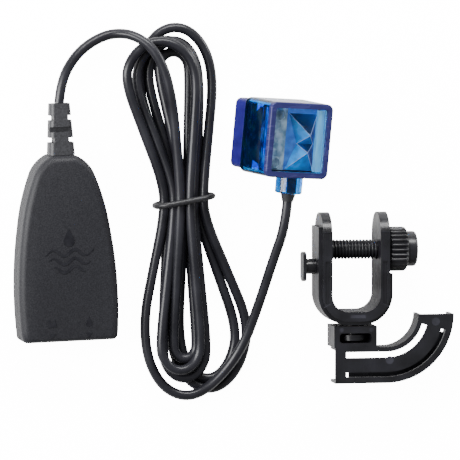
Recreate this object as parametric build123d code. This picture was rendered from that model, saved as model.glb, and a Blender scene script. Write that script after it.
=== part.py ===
"""Aquarium top-up level controller laid flat: control box, tied lead, optical level sensor
with its outer magnet, and the tank-rim clamp with its hose guide.

Millimetres. +X to the right, +Y towards the control box's cord end, +Z up from the table.
The origin is the centre of the control box's back face, where it rests or is stuck down.
"""

import os
from math import cos, radians, sin, tan

from build123d import *

# ---- driving dimensions: control box ----
BOX_DEPTH = 21.0
BOX_SPLIT_Z = 10.5
BOX_BOTTOM_Y = -38.6
BOX_TOP_Y = 39.2
BOX_WALL = 2.0
BOX_TURN = 2.0  # degrees, how the box lies against the clamp's axis
CORNER_R = 2.0
BEVEL_IN = 3.2
BEVEL_DOWN = 2.2
BACK_BEVEL = 1.2
JACK_X = 7.8
JACK_HOLE_R = 3.9
JACK_BORE_R = 2.85
BOARD_Z = 4.6
BOARD_THICK = 1.6
FACE_GAP = 0.05  # between neighbouring pieces that only rest on each other

# ---- driving dimensions: lead ----
CORD_D = 4.2
RELIEF_LENGTH = 21.5
RELIEF_BASE = 11.0
RELIEF_TIP = 8.5
NECK_R = 3.4
HANK_HIGH = 14.4
TIE_D = 2.5
TIE_LOW_Z = 0.05
TIE_HIGH = 14.1  # between the centres of its upper and lower runs
TIE_WIDE = 24.2
TIE_ASLANT = 10.0

# ---- driving dimensions: level sensor ----
SENSOR_W = 30.2
SENSOR_H = 31.6
SENSOR_DEPTH = 32.0
MAGNET_DEPTH = 9.6
MAGNET_W = 28.6
MAGNET_H = 29.4
SENSOR_GAP = 0.1
SENSOR_WALL = 1.8
BEZEL_DEPTH = 2.2
BEZEL_BORDER = 2.4
GLAND_R = 5.7
GLAND_LENGTH = 6.8
GLAND_BACK = 5.75  # gland axis behind the front face
BOOT_R = 3.2
BOOT_LENGTH = 3.4
SENSOR_YAW = 20.5  # degrees, left side raised by the stiff lead
SENSOR_PITCH = 2.0
SENSOR_ROLL = -4.2
SENSOR_BACK_CENTRE = (84.8, 47.3)
SHROUD_X = 13.2
SHROUD_Y = 13.7

# ---- driving dimensions: rim clamp ----
CLAMP_DEPTH = 20.0
CLAMP_MID_Z = CLAMP_DEPTH / 2
JAW_LEFT = 112.7
JAW_GAP = 20.7
JAW_RIGHT = JAW_LEFT + JAW_GAP
BAND = 4.0
ARM_TOP_Y = 13.8
RIM_THICK = 1.6  # outer layer round the U, a little narrower than the band
RIM_INSET_Z = 2.2
RIM_TOP_Y = 7.9  # on the left arm
RIM_RIGHT_Y = -12.0  # on the right arm, just under the knob
THROAT_Y = -28.0
BASE_Y = -33.6
INNER_R = 7.0
OUTER_R = 13.0
SCREW_Y = -2.1
SCREW_R = 4.25
SCREW_PITCH = 1.43
THREAD_DEPTH = 0.55
RUN_CLEAR = 0.05
TIP_GAP = 0.5
KNOB_R = 9.4
KNOB_LENGTH = 7.9
KNOB_RIBS = 30
CAP_R = 7.5
CAP_LENGTH = 4.2
WASHER_R = 6.6
WASHER_THICK = 0.6
PEG_R = 2.95
PEG_DISC_R = 6.3
PEG_DISC_THICK = 2.4
SIDE_PEG_Y = -9.1
SIDE_PEG_REACH = 7.3
SIDE_DISC_THICK = 1.4
SIDE_DISC_FLAT = 3.8  # half width between the flats of the side peg's disc

# ---- driving dimensions: hose guide ----
GUIDE_X = 136.4  # centre of the bend
GUIDE_Y = -29.4
GUIDE_IN_R = 13.7
GUIDE_OUT_R = 29.0
GUIDE_WALL = 1.2
GUIDE_LEFT = 114.4
GUIDE_LOW_Z = 7.0
GUIDE_TOP_Z = 18.0
GUIDE_FLOOR = 1.6
GUIDE_LIP_IN = 1.6
GUIDE_LIP_OUT = 2.8
LIP_THICK = 1.0
SLOT_A = (15.7, 18.2)
SLOT_B = (24.3, 26.3)
SLOT_LEFT = 119.0
SLOT_END_ANGLE = -15.0
BLOCK_W = 18.4
BLOCK_TOP_Y = -34.1
PEG_CLEAR = 0.5
PEG_SLACK = 0.9

os.makedirs("parts", exist_ok=True)
box_place = Rot(0, 0, BOX_TURN)
PEG_X = (JAW_LEFT + JAW_RIGHT) / 2


def save(name, shape):
    export_step(shape, f"parts/{name}.step")


def block(low, high):
    """Axis-aligned box between two corners."""
    size = [abs(b - a) for a, b in zip(low, high)]
    middle = [(a + b) / 2 for a, b in zip(low, high)]
    return Pos(*middle) * Box(*size)


def group(shapes):
    """Separate solids that share one node."""
    return Compound([shape.solid() for shape in shapes])


def rod_x(x0, x1, y, z, radius):
    return Pos((x0 + x1) / 2, y, z) * Rot(0, 90, 0) * Cylinder(radius, abs(x1 - x0))


def rod_y(x, y0, y1, z, radius):
    return Pos(x, (y0 + y1) / 2, z) * Rot(90, 0, 0) * Cylinder(radius, abs(y1 - y0))


def rod_z(x, y, z0, z1, radius):
    return Pos(x, y, (z0 + z1) / 2) * Cylinder(radius, abs(z1 - z0))


# ---- control box ----
def box_outline(inset=0.0, base_in=0.0):
    """The tapered shield outline of the control box, on z = 0.

    inset draws it in from the flanks and the top, and base_in from the lower edge.
    """
    shoulder = 0.7 * inset
    base_y = BOX_BOTTOM_Y + base_in
    points = [
        (20.1 - inset, base_y),
        (20.9 - inset, -16.7),
        (18.6 - inset, 8.5),
        (15.4 - inset, 23.6 - 0.3 * inset),
        (12.3 - shoulder, 32.4 - shoulder),
        (9.6 - shoulder, 36.1 - shoulder),
        (5.2 - 0.2 * inset, BOX_TOP_Y - inset),
    ]
    left_points = [(-x, y) for x, y in reversed(points)]
    right_side = [ThreePointArc(*points[k : k + 3]) for k in (0, 2, 4)]
    left_side = [ThreePointArc(*left_points[k : k + 3]) for k in (0, 2, 4)]
    crown = Line(points[-1], left_points[0])
    base = Line(left_points[-1], points[0])
    outline = make_face(Wire([*right_side, crown, *left_side, base]))
    corners = outline.vertices().filter_by(lambda v: v.Y < base_y + 0.1)
    return fillet(corners, CORNER_R)


def jack_holes():
    """Two round holes in the lower wall, for the supply and pump plugs."""
    inner_y = BOX_BOTTOM_Y + BOX_WALL + 1
    return [rod_y(x, BOX_BOTTOM_Y - 1, inner_y, BOX_SPLIT_Z, JACK_HOLE_R) for x in (-JACK_X, JACK_X)]


def relief_hole():
    return rod_y(0, BOX_TOP_Y - BOX_WALL - 2, BOX_TOP_Y + 1, BOX_SPLIT_Z, NECK_R + FACE_GAP)


screw_spots = [(-15.0, -31.0), (15.0, -31.0), (-9.4, 24.0), (9.4, 24.0)]
SCREW_POST_R = 2.5
SCREW_HEAD_R = 2.1
SCREW_HEAD_DEPTH = 1.8
SCREW_SHANK_R = 1.05


def hollowed(body, cavity, z0, z1):
    """body with a cavity, where posts for the case screws are left standing."""
    for x, y in screw_spots:
        cavity -= rod_z(x, y, z0, z1, SCREW_POST_R)
    shell = body - cavity
    for hole in jack_holes() + [relief_hole()]:
        shell -= hole
    return shell


def front_shell():
    side_high = BOX_DEPTH - BOX_SPLIT_Z - BEVEL_DOWN
    body = extrude(Pos(0, 0, BOX_SPLIT_Z) * box_outline(), side_high)
    bevel_foot = Pos(0, 0, BOX_DEPTH - BEVEL_DOWN) * box_outline()
    face = Pos(0, 0, BOX_DEPTH) * box_outline(BEVEL_IN)
    body += loft([bevel_foot, face])
    cavity = extrude(Pos(0, 0, BOX_SPLIT_Z - 1) * box_outline(BOX_WALL, BOX_WALL), side_high + 0.6)
    shell = hollowed(body, cavity, 0, BOX_DEPTH)
    for x, y in screw_spots:
        shell -= rod_z(x, y, BOX_SPLIT_Z - 1, BOX_SPLIT_Z + 6, SCREW_SHANK_R)
    return shell


def rear_shell():
    body = extrude(Pos(0, 0, BACK_BEVEL) * box_outline(), BOX_SPLIT_Z - FACE_GAP - BACK_BEVEL)
    body += loft([box_outline(BACK_BEVEL, BACK_BEVEL), Pos(0, 0, BACK_BEVEL) * box_outline()])
    cavity = extrude(Pos(0, 0, BOX_WALL) * box_outline(BOX_WALL, BOX_WALL), BOX_DEPTH)
    shell = hollowed(body, cavity, 0, BOX_DEPTH + 10)
    for x, y in screw_spots:
        shell -= rod_z(x, y, -1, BOX_SPLIT_Z + 1, SCREW_SHANK_R + FACE_GAP)
        shell -= rod_z(x, y, -1, SCREW_HEAD_DEPTH, SCREW_HEAD_R + FACE_GAP)
    return shell


def case_screws():
    """Four identical case screws, driven from the back."""
    screws = []
    for x, y in screw_spots:
        head = rod_z(x, y, 0.3, SCREW_HEAD_DEPTH - 0.02, SCREW_HEAD_R - 0.02)
        slot = block((x - 1.5, y - 0.3, -1), (x + 1.5, y + 0.3, 0.9))
        slot += block((x - 0.3, y - 1.5, -1), (x + 0.3, y + 1.5, 0.9))
        shank = rod_z(x, y, SCREW_HEAD_DEPTH - 0.5, BOX_SPLIT_Z + 5, SCREW_SHANK_R - 0.02)
        screws.append(head + shank - slot)
    return group(screws)


def control_board():
    board = extrude(Pos(0, 0, BOARD_Z) * box_outline(BOX_WALL + 1.0, 3.5), BOARD_THICK)
    for x, y in screw_spots:
        board -= rod_z(x, y, 0, BOX_DEPTH, SCREW_POST_R + 0.3)
    return board - block((-30, 30, 0), (30, 60, BOX_DEPTH))


BOARD_TOP = BOARD_Z + BOARD_THICK
JACK_FRONT_Y = BOX_BOTTOM_Y + 1.2


def jack_body(x):
    """Barrel socket: square rear block, round nose in the wall's hole."""
    nose = rod_y(x, JACK_FRONT_Y, JACK_FRONT_Y + 4, BOX_SPLIT_Z, JACK_HOLE_R - FACE_GAP)
    rear_low = (x - 4.2, JACK_FRONT_Y + 3, BOARD_TOP + FACE_GAP)
    rear = block(rear_low, (x + 4.2, JACK_FRONT_Y + 13, BOX_SPLIT_Z + 4.2))
    return nose + rear - rod_y(x, JACK_FRONT_Y - 1, JACK_FRONT_Y + 10, BOX_SPLIT_Z, JACK_BORE_R)


def jack_pin(x):
    pin = rod_y(x, JACK_FRONT_Y + 0.9, JACK_FRONT_Y + 10, BOX_SPLIT_Z, 1.0)
    return fillet(pin.edges().sort_by(Axis.Y)[0], 0.5)


def microcontroller():
    body = block((-4, -4, BOARD_TOP + 0.35), (4, 4, BOARD_TOP + 1.8))
    for row in range(7):
        y = -3 + row
        body += block((-5.2, y - 0.2, BOARD_TOP + FACE_GAP), (5.2, y + 0.2, BOARD_TOP + 0.8))
    return body


def buzzer():
    can = rod_z(9, 12, BOARD_TOP + FACE_GAP, BOARD_TOP + 6.5, 4.5)
    return can - rod_z(9, 12, BOARD_TOP + 5, BOARD_TOP + 8, 1.0)


def capacitors():
    """Two identical electrolytic cans standing on the board."""
    return group([rod_z(x, -14, BOARD_TOP + FACE_GAP, BOARD_TOP + 7.5, 2.5) for x in (-3.5, 3.5)])


def pump_driver():
    tab = block((8.5, -17, BOARD_TOP + FACE_GAP), (15, -10.5, BOARD_TOP + 0.7))
    return tab + block((8.9, -16.6, BOARD_TOP + 0.5), (14.6, -12.4, BOARD_TOP + 2.4))


def board_chips():
    """Small chip parts in two rows, one group."""
    spots = [(-11, -8), (-11, -4), (-11, 0), (-11, 4), (-6, 12), (-2, 12), (2, 12), (11, -4), (11, 0)]
    low_z = BOARD_TOP + FACE_GAP
    return group([block((x - 1, y - 0.6, low_z), (x + 1, y + 0.6, BOARD_TOP + 0.75)) for x, y in spots])


def lead_header():
    """The connector where the sensor lead's wires meet the board."""
    shroud = block((-5, 19, BOARD_TOP + FACE_GAP), (5, 25, BOARD_TOP + 5))
    return shroud - block((-4.2, 19.8, BOARD_TOP + 1.2), (4.2, 24.2, BOARD_TOP + 6))


def strain_relief():
    """Tapered square sleeve with staggered notches, on a round neck held by the shell walls."""
    base_y = BOX_TOP_Y + 0.1
    tip_y = base_y + RELIEF_LENGTH
    low_plane = Plane(origin=(0, base_y, BOX_SPLIT_Z), z_dir=(0, 1, 0))
    high_plane = Plane(origin=(0, tip_y, BOX_SPLIT_Z), z_dir=(0, 1, 0))
    low = low_plane * RectangleRounded(RELIEF_BASE, RELIEF_BASE, 2.2)
    high = high_plane * RectangleRounded(RELIEF_TIP, RELIEF_TIP, 2.0)
    sleeve = loft([low, high])
    notch = 2.1
    core = rod_y(0, base_y, tip_y, BOX_SPLIT_Z, 2.9)
    for share, across in ((0.29, True), (0.5, False), (0.72, True)):
        y = base_y + share * RELIEF_LENGTH
        for side in (-1, 1):
            if across:
                cut = block((3.0 * side, y - notch / 2, 0), (9 * side, y + notch / 2, BOX_DEPTH))
            else:
                near, far = BOX_SPLIT_Z + 3.0 * side, BOX_SPLIT_Z + 9 * side
                cut = block((-9, y - notch / 2, near), (9, y + notch / 2, far))
            sleeve -= cut
    neck = rod_y(0, BOX_TOP_Y - BOX_WALL - 0.6, base_y + 1, BOX_SPLIT_Z, NECK_R)
    flange = rod_y(0, BOX_TOP_Y - BOX_WALL - 2.6, BOX_TOP_Y - BOX_WALL - 0.4, BOX_SPLIT_Z, NECK_R + 1.2)
    return sleeve + core + neck + flange


# ---- lead ----
RELIEF_TIP_Y = BOX_TOP_Y + 0.1 + RELIEF_LENGTH
LEAD_ROUTE = [
    (-RELIEF_TIP_Y * sin(radians(BOX_TURN)), RELIEF_TIP_Y * cos(radians(BOX_TURN)), BOX_SPLIT_Z),
    (-1.2, 70.0, 10.3),
    (4.6, 80.2, 9.2),
    (12.4, 86.6, 8.0),
    (21.2, 90.0, 7.6),
    (29.6, 89.2, 12.0),
    (37.0, 83.8, 14.8),
    (41.8, 75.0, 15.2),
    (44.6, 64.0, 15.0),
    (46.4, 53.0, 13.4),
]
TIE_PLACE = (51.15, 19.2)
TAIL_ROUTE = [
    (65.0, -58.0, 6.8),
    (76.0, -43.4, 10.0),
    (81.9, -24.0, 16.4),
    (86.7, -4.6, 23.8),
    (90.7, 8.9, 28.4),
    (91.67, 19.77, 28.73),
]


def corner_radii(route):
    """As large as the runs beside each corner allow."""
    radii = []
    for before, here, after in zip(route, route[1:], route[2:]):
        first = Vector(*here) - Vector(*before)
        second = Vector(*after) - Vector(*here)
        half_turn = radians(first.get_angle(second)) / 2
        radii.append(0.45 * min(first.length, second.length) / tan(half_turn))
    return radii


def cord_tube(name, route):
    radii = corner_radii(route)
    path = FilletPolyline(*route, radius=radii)
    section = Plane(origin=path @ 0, z_dir=path % 0) * Circle(CORD_D / 2)
    print(name, "length", round(path.length, 1), "bend radii", [round(r, 1) for r in radii])
    return sweep(section, path=path)


def hank():
    """Outer shape of the tied turns: a small top lobe, a waist and a large bottom lobe."""
    outline = Spline(
        (49.5, 93.0),
        (61.0, 82.0),
        (65.2, 66.0),
        (62.4, 42.0),
        (62.6, 19.0),
        (70.0, -3.0),
        (79.6, -30.0),
        (79.0, -47.0),
        (69.0, -60.0),
        (52.5, -66.4),
        (37.6, -57.0),
        (32.2, -38.0),
        (35.0, -16.0),
        (38.8, 9.0),
        (38.4, 22.0),
        (32.0, 46.0),
        (25.4, 66.0),
        (28.0, 80.0),
        (38.0, 89.0),
        periodic=True,
    )
    body = extrude(make_face(outline), HANK_HIGH)
    return chamfer(body.edges().filter_by(GeomType.LINE, reverse=True), 2.6)


def hank_tie():
    """Plain round band that holds the turns together at the waist, lying aslant."""
    middle_z = TIE_LOW_Z + TIE_D / 2 + TIE_HIGH / 2
    across = (cos(radians(TIE_ASLANT)), sin(radians(TIE_ASLANT)), 0)
    along = (-sin(radians(TIE_ASLANT)), cos(radians(TIE_ASLANT)), 0)
    plane = Plane(origin=(*TIE_PLACE, middle_z), x_dir=across, z_dir=along)
    path = (plane * RectangleRounded(TIE_WIDE, TIE_HIGH, 5.4)).wire()
    section = Plane(origin=path @ 0, z_dir=path % 0) * Circle(TIE_D / 2)
    return sweep(section, path=path)


# ---- level sensor, in its own frame: back of the magnet holder on z = 0, window towards +z ----
BODY_Z = MAGNET_DEPTH + SENSOR_GAP
BEZEL_Z = SENSOR_DEPTH - BEZEL_DEPTH


def rounded_slab(width, height, z0, z1, radius):
    return extrude(Pos(0, 0, z0) * RectangleRounded(width, height, radius), z1 - z0)


def magnet_shell():
    body = rounded_slab(MAGNET_W, MAGNET_H, 0, MAGNET_DEPTH - 2.4, 2.6)
    body = fillet(body.faces().sort_by(Axis.Z)[0].edges(), 1.4)
    return body - rounded_slab(MAGNET_W - 4, MAGNET_H - 4, 2.0, 20, 1.4)


def magnet_lid():
    lid = rounded_slab(MAGNET_W, MAGNET_H, MAGNET_DEPTH - 2.4 + FACE_GAP, MAGNET_DEPTH - 0.6, 2.6)
    return lid


def magnet_pad():
    """Thin soft pad that keeps the holder from scratching the glass."""
    return rounded_slab(MAGNET_W - 3, MAGNET_H - 3, MAGNET_DEPTH - 0.6 + 0.02, MAGNET_DEPTH, 1.6)


def holder_magnet():
    return rounded_slab(20, 20, 2.05, 2.05 + 4.6, 1.0)


def sensor_housing():
    """Clear tinted box, open at the front for the window."""
    body = rounded_slab(SENSOR_W, SENSOR_H, BODY_Z, BEZEL_Z - FACE_GAP, 2.8)
    body = fillet(body.faces().sort_by(Axis.Z)[0].edges(), 0.9)
    inner_w = SENSOR_W - 2 * SENSOR_WALL
    inner_h = SENSOR_H - 2 * SENSOR_WALL
    body -= rounded_slab(inner_w, inner_h, BODY_Z + SENSOR_WALL, SENSOR_DEPTH, 1.2)
    body -= rod_y(0, -SENSOR_H / 2 - 1, -SENSOR_H / 2 + SENSOR_WALL + 1, SENSOR_DEPTH - GLAND_BACK - 0.9, 2.8)
    return body


def sensor_bezel():
    """Coloured front frame round the window."""
    frame = rounded_slab(SENSOR_W, SENSOR_H, BEZEL_Z, SENSOR_DEPTH, 2.8)
    frame = fillet(frame.faces().sort_by(Axis.Z)[-1].outer_wire().edges(), 0.6)
    return frame - rounded_slab(SENSOR_W - 2 * BEZEL_BORDER, SENSOR_H - 2 * BEZEL_BORDER, 0, 40, 1.2)


WINDOW_Z = BEZEL_Z - 5.6
LAMP_X = -8.6
LAMP_Y = (-10.0, 10.0)
PRISM_HIGH = 5.3
PRISM_BASE_LEFT = -4.2
PRISM_BASE_RIGHT = 12.2
PRISM_BASE_Y = 13.0
# Foot corners and peak of each prism; they share the edge at their middle.
MIDDLE_EDGE = [(3.0, -1.8), (10.9, -1.8)]
UPPER_FOOT = [*MIDDLE_EDGE, (11.9, 10.8), (-1.8, 10.8)]
UPPER_PEAK = (6.3, 2.1)
LOWER_FOOT = [*MIDDLE_EDGE, (11.9, -12.9), (-1.8, -12.9)]
LOWER_PEAK = (5.6, -5.1)


def pyramid(corners, peak):
    """Four-sided prism whose peak stands near the middle edge."""
    foot = Pos(0, 0, WINDOW_Z - 0.1) * make_face(Polyline(*corners, close=True))
    return loft([foot, Vertex(*peak, WINDOW_Z + PRISM_HIGH)])


def prism_block():
    """Clear optical block: two pyramid prisms, one above the other, on a flat base."""
    base_low = (PRISM_BASE_LEFT, -PRISM_BASE_Y, WINDOW_Z - 1.5)
    base = block(base_low, (PRISM_BASE_RIGHT, PRISM_BASE_Y, WINDOW_Z))
    return base + pyramid(UPPER_FOOT, UPPER_PEAK) + pyramid(LOWER_FOOT, LOWER_PEAK)


def window_pane():
    border = 2 * BEZEL_BORDER + 0.1
    return rounded_slab(SENSOR_W - border, SENSOR_H - border, BEZEL_Z - 0.02, BEZEL_Z + 0.9, 1.1)


def light_rail():
    """White strip beside the prisms that holds the lamps."""
    rail = block((-12.5, -12.9, WINDOW_Z - 1.5), (-4.4, 12.9, WINDOW_Z + 3.0))
    for y in LAMP_Y:
        rail -= rod_z(LAMP_X, y, WINDOW_Z + 1.6, 40, 1.9)
    return rail


def infrared_lamps():
    return group([rod_z(LAMP_X, y, WINDOW_Z + 1.65, WINDOW_Z + 2.7, 1.5) for y in LAMP_Y])


def light_guide():
    """Clear strip on the other side, which carries the light to the receivers."""
    return block((9.5, -12.9, WINDOW_Z + 3.4), (12.55, 12.9, WINDOW_Z + 5.4))


def sensor_board():
    return block((-12.5, -13.0, WINDOW_Z - 4.6), (12.5, 13.0, WINDOW_Z - 3.2))


def photo_receivers():
    low_z, high_z = WINDOW_Z - 3.15, WINDOW_Z - 1.9
    return group([block((9.2, y - 1.4, low_z), (11.9, y + 1.4, high_z)) for y in (-8, 0, 8)])


def optics_shroud():
    """Thin dark sleeve round the board and the optics, so that light enters by the window only."""
    outer = rounded_slab(2 * SHROUD_X, 2 * SHROUD_Y, BODY_Z + SENSOR_WALL + 4.4, WINDOW_Z + 0.6, 1.0)
    return outer - rounded_slab(2 * (SHROUD_X - 0.55), 2 * (SHROUD_Y - 0.55), 0, 40, 0.6)


def sensor_magnet():
    return rounded_slab(20, 20, BODY_Z + SENSOR_WALL + 0.05, BODY_Z + SENSOR_WALL + 4.2, 1.0)


GLAND_Z = SENSOR_DEPTH - GLAND_BACK


def sensor_gland():
    """Clear tinted collar under the housing, with a bore for the boot."""
    top = -SENSOR_H / 2 - FACE_GAP
    collar = rod_y(0, top - GLAND_LENGTH, top, GLAND_Z, GLAND_R)
    collar = fillet(collar.edges().sort_by(Axis.Y)[0], 0.8)
    return collar - rod_y(0, top - 20, top + 2, GLAND_Z, BOOT_R + FACE_GAP)


def gland_boot():
    """Black seal round the lead, which tapers where the lead leaves."""
    top = -SENSOR_H / 2 - FACE_GAP - 0.3
    low = top - GLAND_LENGTH + 0.3
    plug = rod_y(0, low, top, GLAND_Z, BOOT_R)
    cone = loft(
        [
            Plane(origin=(0, low, GLAND_Z), z_dir=(0, -1, 0)) * Circle(BOOT_R),
            Plane(origin=(0, low - BOOT_LENGTH, GLAND_Z), z_dir=(0, -1, 0)) * Circle(CORD_D / 2 + 0.25),
        ]
    )
    return plug + cone


sensor_turn = Rot(0, 0, SENSOR_ROLL) * Rot(0, SENSOR_YAW, 0) * Rot(SENSOR_PITCH, 0, 0)


def sensor_lift():
    """Height of the holder's back centre, so that the lowest edge just rests on the table."""
    return -(sensor_turn * magnet_shell()).bounding_box().min.Z


sensor_place = Pos(*SENSOR_BACK_CENTRE, sensor_lift()) * sensor_turn


# ---- rim clamp ----
def u_block(left, right, low_y, high_y, radius, z0, z1):
    """Block with its two lower corners rounded, seen from above."""
    body = block((left, low_y, z0), (right, high_y, z1))
    return fillet(body.edges().filter_by(Axis.Z).sort_by(Axis.Y)[:2], radius)


def clamp_frame():
    """U-shaped band with round arm ends and an outer layer, two mushroom pegs and the screw's bore."""
    left = JAW_LEFT - BAND
    right = JAW_RIGHT + BAND
    outer = u_block(left, right, BASE_Y + RIM_THICK, ARM_TOP_Y, OUTER_R - RIM_THICK, 0, CLAMP_DEPTH)
    throat = u_block(JAW_LEFT, JAW_RIGHT, THROAT_Y, ARM_TOP_Y + 1, INNER_R, -1, CLAMP_DEPTH + 1)
    # round paddle ends on both arms
    half = CLAMP_DEPTH / 2
    round_end = rod_x(left - 2, right + 2, ARM_TOP_Y - half, CLAMP_MID_Z, half)
    below = block((left - 2, BASE_Y - 1, -1), (right + 2, ARM_TOP_Y - half, CLAMP_DEPTH + 1))
    band = outer & (round_end + below)
    # outer layer on the left arm and round the base, ending under the knob on the right arm
    rim_left = left - RIM_THICK
    rim_right = right + RIM_THICK
    rim_high_z = CLAMP_DEPTH - RIM_INSET_Z
    rim = u_block(rim_left, rim_right, BASE_Y, RIM_TOP_Y, OUTER_R, RIM_INSET_Z, rim_high_z)
    rim -= block((JAW_RIGHT, RIM_RIGHT_Y, -1), (rim_right + 1, ARM_TOP_Y, CLAMP_DEPTH + 1))
    frame = band + rim - throat
    # shallow recesses along the front edges of both arms
    for x0 in (left + 1.0, JAW_RIGHT + 1.0):
        frame -= block((x0, -24.5, CLAMP_DEPTH - 0.6), (x0 + 1.9, -6.5, CLAMP_DEPTH + 1))
    frame -= rod_x(JAW_RIGHT - 1, right + 1, SCREW_Y, CLAMP_MID_Z, SCREW_R + RUN_CLEAR)
    # side peg
    frame += rod_x(left - SIDE_PEG_REACH + 0.5, left + 1, SIDE_PEG_Y, CLAMP_MID_Z, PEG_R)
    disc_x = left - SIDE_PEG_REACH
    disc = rod_x(disc_x, disc_x + SIDE_DISC_THICK, SIDE_PEG_Y, CLAMP_MID_Z, PEG_DISC_R)
    flats_low = (disc_x - 1, SIDE_PEG_Y - 10, CLAMP_MID_Z - SIDE_DISC_FLAT)
    flats = block(flats_low, (disc_x + 4, SIDE_PEG_Y + 10, CLAMP_MID_Z + SIDE_DISC_FLAT))
    frame += disc & flats
    # lower peg, which carries the hose guide
    frame += rod_y(PEG_X, PEG_LOW_Y, BASE_Y + 1, CLAMP_MID_Z, PEG_R)
    frame += rod_y(PEG_X, PEG_LOW_Y, PEG_LOW_Y + PEG_DISC_THICK, CLAMP_MID_Z, PEG_DISC_R)
    return frame


PEG_LOW_Y = GUIDE_Y - GUIDE_IN_R + 2.7
SCREW_TIP = JAW_LEFT + TIP_GAP
WASHER_X = JAW_RIGHT + BAND + 0.1
KNOB_X = WASHER_X + WASHER_THICK + 0.05
CAP_X = KNOB_X + KNOB_LENGTH


def clamp_screw():
    """Thread crests as rings at the thread's pitch, so the piece is round about its axis."""
    core_r = SCREW_R - THREAD_DEPTH
    end = KNOB_X + KNOB_LENGTH - 2
    points = [(SCREW_TIP, 0), (SCREW_TIP, core_r - 0.6), (SCREW_TIP + 0.6, core_r)]
    turns = int((WASHER_X - SCREW_TIP - 1.2) / SCREW_PITCH)
    for turn in range(turns):
        x = SCREW_TIP + 0.8 + turn * SCREW_PITCH
        points += [(x + 0.55, SCREW_R), (x + 0.75, SCREW_R), (x + SCREW_PITCH - 0.1, core_r)]
    points += [(end, core_r), (end, 0)]
    profile = make_face(Polyline(*points, close=True))
    screw = revolve(profile, Axis.X)
    return Pos(0, SCREW_Y, CLAMP_MID_Z) * screw


def screw_knob():
    """Round knob with a ring of finger ribs, bored for the screw."""
    core = rod_x(KNOB_X, KNOB_X + KNOB_LENGTH, 0, 0, KNOB_R - 0.7)
    rib = rod_x(KNOB_X, KNOB_X + KNOB_LENGTH, KNOB_R - 0.7, 0, 0.7)
    ribs = [Rot(360 * k / KNOB_RIBS, 0, 0) * rib for k in range(KNOB_RIBS)]
    knob = core.fuse(*ribs)
    knob -= rod_x(KNOB_X - 1, KNOB_X + KNOB_LENGTH - 2 + FACE_GAP, 0, 0, SCREW_R - THREAD_DEPTH)
    return Pos(0, SCREW_Y, CLAMP_MID_Z) * knob


def knob_cap():
    cap = rod_x(CAP_X + FACE_GAP, CAP_X + CAP_LENGTH, SCREW_Y, CLAMP_MID_Z, CAP_R)
    return fillet(cap.edges().sort_by(Axis.X)[-1], 1.2)


def knob_washer():
    ring = rod_x(WASHER_X, WASHER_X + WASHER_THICK, SCREW_Y, CLAMP_MID_Z, WASHER_R)
    return ring - rod_x(WASHER_X - 1, WASHER_X + 2, SCREW_Y, CLAMP_MID_Z, SCREW_R + RUN_CLEAR)


# ---- hose guide ----
def guide_band(r0, r1, z0, z1, left=GUIDE_LEFT, end_angle=0.0):
    """A strip of the guide's plan between two radii: a straight run, then a quarter bend."""
    reach = 60
    end = (reach * cos(radians(end_angle)), reach * sin(radians(end_angle)))
    ring = Circle(r1) - Circle(r0)
    wedge = make_face(Polyline((0, 0), (0, -reach), (reach, -reach), end, close=True))
    bend = Pos(GUIDE_X, GUIDE_Y) * (ring & wedge)
    low_y, high_y = GUIDE_Y - r1, GUIDE_Y - r0
    run = [(left, low_y), (GUIDE_X, low_y), (GUIDE_X, high_y), (left, high_y)]
    straight = make_face(Polyline(*run, close=True))
    return extrude(Pos(0, 0, z0) * (bend + straight), z1 - z0)


def tube_guide():
    """Half-inch hose guide: floor, two walls with lips, two long slots, and the peg's block."""
    outer_wall_r = GUIDE_OUT_R - GUIDE_WALL
    inner_wall_r = GUIDE_IN_R + GUIDE_WALL
    lip_z = GUIDE_LOW_Z + LIP_THICK
    lip_left = SLOT_LEFT + 3.0
    guide = guide_band(GUIDE_IN_R, GUIDE_OUT_R, GUIDE_TOP_Z - GUIDE_FLOOR, GUIDE_TOP_Z)
    for inner, outer in SLOT_A, SLOT_B:
        guide -= guide_band(inner, outer, 0, 40, SLOT_LEFT, SLOT_END_ANGLE)
    guide += guide_band(GUIDE_IN_R, inner_wall_r, GUIDE_LOW_Z, GUIDE_TOP_Z)
    guide += guide_band(outer_wall_r, GUIDE_OUT_R, GUIDE_LOW_Z, GUIDE_TOP_Z)
    inner_lip_r = inner_wall_r + GUIDE_LIP_IN
    outer_lip_r = outer_wall_r - GUIDE_LIP_OUT
    guide += guide_band(GUIDE_IN_R, inner_lip_r, GUIDE_LOW_Z, lip_z, lip_left, SLOT_END_ANGLE - 3)
    guide += guide_band(outer_lip_r, GUIDE_OUT_R, GUIDE_LOW_Z, lip_z, lip_left, SLOT_END_ANGLE - 3)
    block_low = (PEG_X - BLOCK_W / 2, GUIDE_Y - GUIDE_IN_R - 0.2, CLAMP_MID_Z - 7.5)
    holder = block(block_low, (PEG_X + BLOCK_W / 2, BLOCK_TOP_Y, GUIDE_TOP_Z))
    pocket_low = PEG_LOW_Y - PEG_SLACK
    pocket_high = PEG_LOW_Y + PEG_DISC_THICK + PEG_SLACK
    pocket_r = PEG_DISC_R + PEG_CLEAR
    holder -= rod_y(PEG_X, pocket_low, pocket_high, CLAMP_MID_Z, pocket_r)
    mouth = block((PEG_X - pocket_r, pocket_low, CLAMP_MID_Z), (PEG_X + pocket_r, pocket_high, 40))
    holder -= fillet(mouth.edges().filter_by(Axis.Z), 1.4)
    holder -= rod_y(PEG_X, pocket_high - 1, BLOCK_TOP_Y + 1, CLAMP_MID_Z, PEG_R + 0.35)
    return guide + holder


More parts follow.
